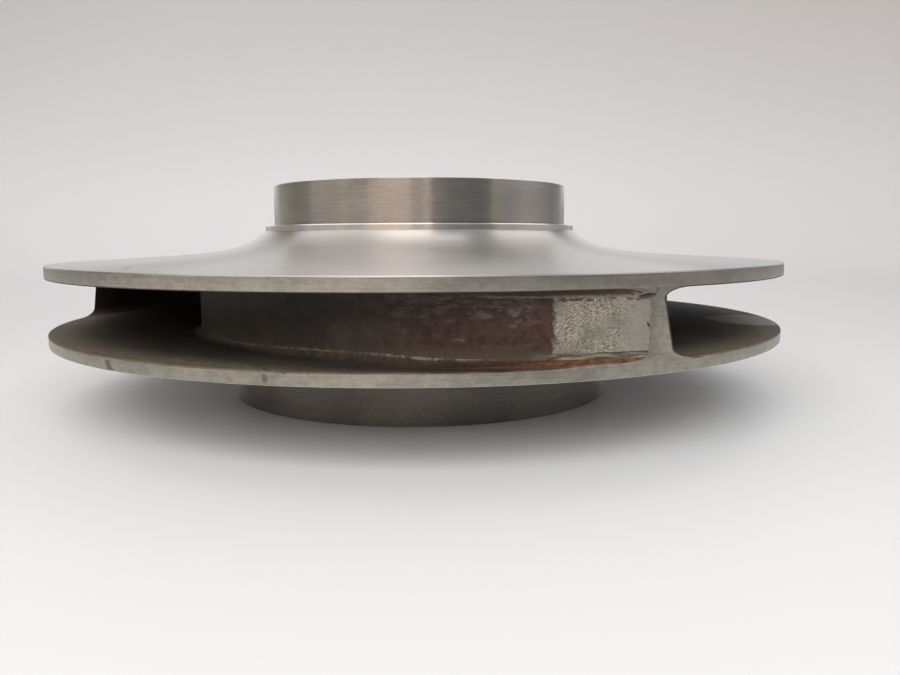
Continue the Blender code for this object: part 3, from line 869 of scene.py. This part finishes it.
# The marks that it has got by accident: a sand flaw, knocks and a crack round the front vane's tip, and two
# scratches on the back shroud. They are cut together with the keyway and the holes.
TIP_FLAWS = (
    ((0.0033, 0.0008, 0.0012), -65.55, RIM_RADIUS, 0.05515, 4.0),
    ((0.0011, 0.00026, 0.0005), -65.30, RIM_RADIUS, 0.04626, -52.0),
    ((0.0012, 0.00016, 0.0003), -66.95, RIM_RADIUS, 0.0551, 62.0),
    ((0.0012, 0.00013, 0.0003), -64.30, RIM_RADIUS, 0.0564, 50.0),
    ((0.0030, 0.00012, 0.0003), -57.90, RIM_RADIUS, 0.0344, 2.0),
)
TOP_SCRATCHES = (
    ((0.00022, 0.00040, 0.0090), -132.3, 0.1498, 0.06312, 0.0, 47.2),
    ((0.00014, 0.00025, 0.0050), -128.5, 0.1560, 0.06283, 0.0, 44.0),
)
flaws = [lens(*values) for values in TIP_FLAWS + TOP_SCRATCHES]
cut(
    casting,
    [(keyway, (0.0, 0.0, 0.0))]
    + [(balance_hole, where) for where in around(BALANCE_HOLES, BALANCE_HOLE_CIRCLE, BALANCE_HOLE_TURN)]
    + [(back_screw_hole, where) for where in back_screws]
    + [(suction_screw_hole, where) for where in suction_screws]
    + [(flaw, (0.0, 0.0, 0.0)) for flaw in flaws],
)

# The wear rings. Two plain rings of stainless steel, turned bright, shrunk on the collars against their
# shoulders. They run in the pump's own rings and are pulled off and replaced when worn.
RING_SEAT = 0.00004
RING_CHAMFER = 0.00012
RING_SIDES = 256
RING_STEP = 0.006
BACK_RING_RADIUS = 0.0700
SUCTION_RING_RADIUS = 0.0900
TOTAL_HEIGHT = 0.0967
bright_steel = turned_finish("turned_ring", (0.64, 0.62, 0.585), (0.49, 0.47, 0.44), 0.19, 1.0, 0.0000025)
# The suction ring's dark colour is partly wear and partly painted shade, for the shadow under the impeller.
dull_shaded_steel = turned_finish("worn_shaded_ring", (0.26, 0.243, 0.222), (0.155, 0.145, 0.132), 0.36, 1.0, 0.000005)


def wear_ring(name, inner, outer, low, high, holes, steel):
    """A ring turned from a square section with broken edges, notched for the lock screws."""
    profile = [
        (inner, high - RING_CHAMFER),
        (inner + RING_CHAMFER, high),
        (outer - RING_CHAMFER, high),
        (outer, high - RING_CHAMFER),
        (outer, low + RING_CHAMFER),
        (outer - RING_CHAMFER, low),
        (inner + RING_CHAMFER, low),
        (inner, low + RING_CHAMFER),
        (inner, high - RING_CHAMFER),
    ]
    turns = np.linspace(0.0, math.tau, RING_SIDES, endpoint=False)
    points = revolve(subdivide(profile, RING_STEP), turns)
    ring = place(name, mesh_from_grids(name, [(points, True, 0, None)]))
    cut(ring, holes)
    ring.data.materials.clear()
    ring.data.materials.append(steel)
    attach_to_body(ring, "root")
    return ring


back_ring = wear_ring(
    "bright_back_ring",
    BACK_COLLAR_RADIUS + RING_SEAT,
    BACK_RING_RADIUS,
    LEDGE_HEIGHT + RING_SEAT,
    TOTAL_HEIGHT,
    [(back_screw_hole, where) for where in back_screws],
    bright_steel,
)
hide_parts("back_wear_ring")
suction_ring = wear_ring(
    "worn_shaded_suction_ring",
    SUCTION_COLLAR_RADIUS + RING_SEAT,
    SUCTION_RING_RADIUS,
    0.0,
    SUCTION_LEDGE_HEIGHT - RING_SEAT,
    [(suction_screw_hole, where) for where in suction_screws],
    dull_shaded_steel,
)
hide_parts("suction_wear_ring")

# The lock screws. Black grub screws with a hexagon socket, driven into the joint between collar and ring so
# that the ring can't turn.
SCREW_RADIUS = 0.0025
SCREW_LENGTH = 0.0100
SOCKET_ACROSS_FLATS = 0.0025
SOCKET_DEPTH = 0.0025
SCREW_CHAMFER = 0.0003
SCREW_SIDES = 48
CUP_DEPTH = 0.0008
CUP_CHAMFER = 0.0006
SCREW_SHARP_OVER = 25.0


def grub_screw(name, where, head, facing):
    """Rings of points: cup point, side, chamfered head, then the socket, whose radius at each angle is that
    of a hexagon, half the width over the cosine of the angle from the nearest flat's middle."""
    turns = np.linspace(0.0, math.tau, SCREW_SIDES, endpoint=False)
    flat = np.mod(turns, math.pi / 3) - math.pi / 6
    hexagon = SOCKET_ACROSS_FLATS / 2 / np.cos(flat)
    rings = [
        (0.0, -SCREW_LENGTH + CUP_DEPTH),
        (SCREW_RADIUS * 0.5, -SCREW_LENGTH),
        (SCREW_RADIUS - CUP_CHAMFER, -SCREW_LENGTH),
        (SCREW_RADIUS, -SCREW_LENGTH + CUP_CHAMFER),
        (SCREW_RADIUS, -SCREW_CHAMFER),
        (SCREW_RADIUS - SCREW_CHAMFER, 0.0),
        (hexagon + 0.0001, 0.0),
        (hexagon, -0.0001),
        (hexagon, -SOCKET_DEPTH),
        (0.0, -SOCKET_DEPTH - 0.0004),
    ]
    rings = [
        np.stack([radius * np.cos(turns), radius * np.sin(turns), np.full_like(turns, depth)], axis=-1)
        for radius, depth in rings
    ]
    points = np.stack(rings) * (1.0, facing, facing) + (where[0], where[1], head)
    screw = place(name, mesh_from_grids(name, [(points, True, 0, None)]), SCREW_SHARP_OVER)
    screw.data.materials.append(black_screw)
    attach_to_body(screw, "root")
    return screw


black_screw, shader, where = new_finish("black_screw")
worn = grain(where, 900.0, 3.0)
blacking = coat((0.05, 0.05, 0.05), (0.16, 0.15, 0.14), fade(worn, 0.4, 0.7))
gloss = plus(0.3, times(worn, 0.3))
plug(shader, {"Base Color": blacking, "Roughness": gloss, "Normal": bump(worn, 0.00002), "Metallic": 0.9})
for side, places, head, facing in (
    ("back", back_screws, BACK_SCREW_HEAD, 1.0),
    ("suction", suction_screws, SUCTION_SCREW_HEAD, -1.0),
):
    for number, where in enumerate(places, start=1):
        screw = grub_screw(f"{side}_grub_screw_{number}", where, head, facing)
        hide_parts(f"{side}_lock_screw_{number}")

# The floor. A sheet of white paper that runs level under the impeller, and a second one that curves up all
# round it. Seen from below they are clear, so that the underside can be looked at.
FLOOR_RADIUS = 1.10
SWEEP_RADIUS = 0.80
SWEEP_HEIGHT = 2.20


def paper(name, profile):
    """A sheet turned round the axis, facing up and inward."""
    turns = np.linspace(0.0, math.tau, 128)
    points = revolve(profile, turns)
    mesh = bpy.data.meshes.new(name)
    mesh.from_pydata(points.reshape(-1, 3), [], quads(*points.shape[:2], 0, False)[:, ::-1])
    return place(name, mesh, 180.0)


white_paper, shader, where = new_finish("white_paper")
plug(shader, {"Base Color": (0.54, 0.547, 0.555, 1.0), "Roughness": 0.55})
below = attach("NewGeometry", {}, where.id_data).outputs["Backfacing"]
clear = attach("BsdfTransparent", {}, where.id_data).outputs[0]
mixed = attach("MixShader", {0: below, 1: shader.outputs[0], 2: clear}).outputs[0]
plug(white_paper.node_tree.nodes["Material Output"], {"Surface": mixed})
arc = np.linspace(0.0, math.pi / 2, 24)
floor = paper("paper_floor", [(EYE_RADIUS, 0.0), (0.3, 0.0), (0.7, 0.0), (FLOOR_RADIUS, 0.0)])
sweep = paper(
    "paper_sweep",
    [
        *zip(FLOOR_RADIUS + SWEEP_RADIUS * np.sin(arc), SWEEP_RADIUS * (1.0 - np.cos(arc))),
        (FLOOR_RADIUS + SWEEP_RADIUS, SWEEP_HEIGHT),
    ],
)
for sheet in (floor, sweep):
    sheet.data.materials.append(white_paper)
sweep.visible_glossy = False
sweep.visible_diffuse = False
sweep.visible_shadow = False

# The light. A soft room that the turned steel mirrors: pale behind, rows of lamps above, and light and dark
# patches on the camera's side. A turned face draws each out across its tool marks, so they are laid out by
# half angles, which are those of the face that shows them to the camera.
world = bpy.data.worlds.new("room")
world.use_nodes = True
direction = attach("TexCoord", {}, world.node_tree).outputs["Generated"]
x, y, z = attach("SeparateXYZ", {0: direction}).outputs
half_angle = calc("ARCTAN2", x, minus(1.0, y))
half_reach = calc("SQRT", plus(times(x, x), calc("POWER", minus(1.0, y), 2.0)))
half_height = calc("ARCTAN2", z, half_reach)
place_in_room = plus(calc("DIVIDE", half_angle, math.pi), 0.5)
patches = attach("ValToRGB", {0: place_in_room})
ROOM_PATCHES = (
    (-90, 0.26, 0.245, 0.22),
    (-70, 0.41, 0.39, 0.345),
    (-60, 0.30, 0.270, 0.220),
    (-52, 0.23, 0.215, 0.185),
    (-46.4, 0.26, 0.24, 0.23),
    (-43.6, 0.43, 0.37, 0.335),
    (-31, 0.43, 0.37, 0.31),
    (-29.2, 0.52, 0.45, 0.38),
    (-27.5, 0.42, 0.35, 0.29),
    (-20.4, 0.39, 0.32, 0.28),
    (-18, 0.60, 0.465, 0.365),
    (-9, 0.77, 0.59, 0.455),
    (-4.2, 0.72, 0.57, 0.47),
    (-2.6, 0.46, 0.35, 0.30),
    (0.4, 0.44, 0.33, 0.275),
    (1.3, 0.56, 0.46, 0.37),
    (3.0, 0.56, 0.46, 0.37),
    (4.8, 0.17, 0.12, 0.09),
    (11, 0.02, 0.015, 0.01),
    (22, 0.02, 0.02, 0.015),
    (26, 0.09, 0.085, 0.065),
    (28.4, 0.30, 0.27, 0.24),
    (35, 0.30, 0.29, 0.285),
    (43, 0.43, 0.40, 0.39),
    (51, 0.39, 0.375, 0.37),
    (60, 0.26, 0.27, 0.255),
    (64, 0.28, 0.285, 0.275),
    (68, 0.33, 0.33, 0.325),
    (90, 0.19, 0.19, 0.185),
)
stops = patches.color_ramp.elements
while len(stops) < len(ROOM_PATCHES):
    stops.new(0.5)
for stop, (angle, *colour) in zip(stops, ROOM_PATCHES):
    stop.position = angle / 180 + 0.5
    stop.color = (*colour, 1.0)

# The ceiling is whiter behind, dimmer over one side, and has two rows of lamps and a long strip light.
patches = patches.outputs["Color"]
ceiling = coat(patches, (1.22, 1.21, 1.22), value_mix(fade(y, 0.20, 0.60), 0.54, 0.78))
sky = coat(patches, ceiling, fade(z, 0.45, 0.85))
dim = times(window(half_angle, 0.20, 0.34, 0.46, 0.50), fade(half_height, 0.55, 0.75))
sky = coat(sky, (0.20, 0.20, 0.20), dim, 0.35)
fall = times(half_angle, half_angle, 0.120)
front_lamp = window(half_angle, -0.42, -0.12, 0.070, 0.095)
front_lamp = times(front_lamp, window(half_height, 0.80, 0.835, 0.895, 0.935))
wing_lamp = times(window(half_angle, 0.07, 0.09, 0.28, 0.36), window(half_height, 0.88, 0.90, 0.94, 0.97))
side_lamp = window(half_angle, 0.48, 0.54, 0.96, 1.10)
side_lamp = times(side_lamp, band(plus(half_height, fall), 0.878, 0.062, 0.022), 0.66)
sky = coat(sky, (4.4, 4.27, 4.12), higher(front_lamp, wing_lamp, side_lamp))
strip = times(window(half_height, 0.70, 0.74, 0.80, 0.83), window(half_angle, -1.0, -0.8, 0.02, 0.14))
sky = coat(sky, (2.4, 2.35, 2.3), strip)

# The pale side behind, a little dimmer at both sides of its middle.
behind = times(fade(y, 0.72, 0.90), fade(z, 0.03, 0.075))
middle = band(x, 0.0, 0.26, 0.18)
gap = band(x, -0.020, 0.020, 0.055)
sky = coat(sky, coat((0.96, 0.96, 0.975), (0.76, 0.76, 0.775), middle, gap), behind)
plug(world.node_tree.nodes["Background"], {"Color": sky, "Strength": 0.9})
bpy.context.scene.world = world


def soft_lamp(name, place_at, aim, size, power, colour, spread=180.0):
    """An oblong area lamp at a place, facing a point; spread is the angle that it lights, in degrees."""
    lamp = bpy.data.lights.new(name, "AREA")
    lamp.shape = "RECTANGLE"
    lamp.size, lamp.size_y = size
    lamp.energy = power
    lamp.color = colour
    lamp.spread = math.radians(spread)
    obj = put(name, lamp)
    obj.location = place_at
    obj.rotation_euler = (Vector(aim) - Vector(place_at)).to_track_quat("-Z", "Y").to_euler()
    obj.visible_glossy = False


soft_lamp("front_lamp", (-0.15, -1.12, 0.80), (0.0, 0.0, 0.04), (1.8, 0.8), 31.5, (0.99, 0.985, 0.98))
soft_lamp("back_lamp", (-0.2, 0.55, 1.50), (-0.1, 1.60, 0.22), (1.4, 0.8), 6.0, (0.98, 0.98, 1.0), 110.0)

# The camera. The photograph's view is that of a wide lens close to the impeller, a little above its rims
# and turned slightly right. Its place was fitted to the impeller's circles, in rim radii.
CAMERA_DISTANCE = 2.2470 * RIM_RADIUS
CAMERA_HEIGHT = 0.43863 * RIM_RADIUS
CAMERA_PITCH = 0.13241
CAMERA_YAW = 0.03889
CAMERA_ROLL = -0.00372
FOCAL_PIXELS = 741.68
IMAGE_WIDTH = 900.0
camera = put("camera", bpy.data.cameras.new("camera"))
camera.data.sensor_width = 36.0
camera.data.lens = FOCAL_PIXELS * camera.data.sensor_width / IMAGE_WIDTH
camera.data.clip_start = 0.01
aim = Matrix.Rotation(-CAMERA_YAW, 4, "Z") @ Matrix.Rotation(math.pi / 2 - CAMERA_PITCH, 4, "X")
aim = aim @ Matrix.Rotation(CAMERA_ROLL, 4, "Z")
camera.matrix_world = Matrix.Translation((0.0, -CAMERA_DISTANCE, CAMERA_HEIGHT)) @ aim
bpy.context.scene.camera = camera
bpy.context.scene.view_settings.view_transform = "Standard"
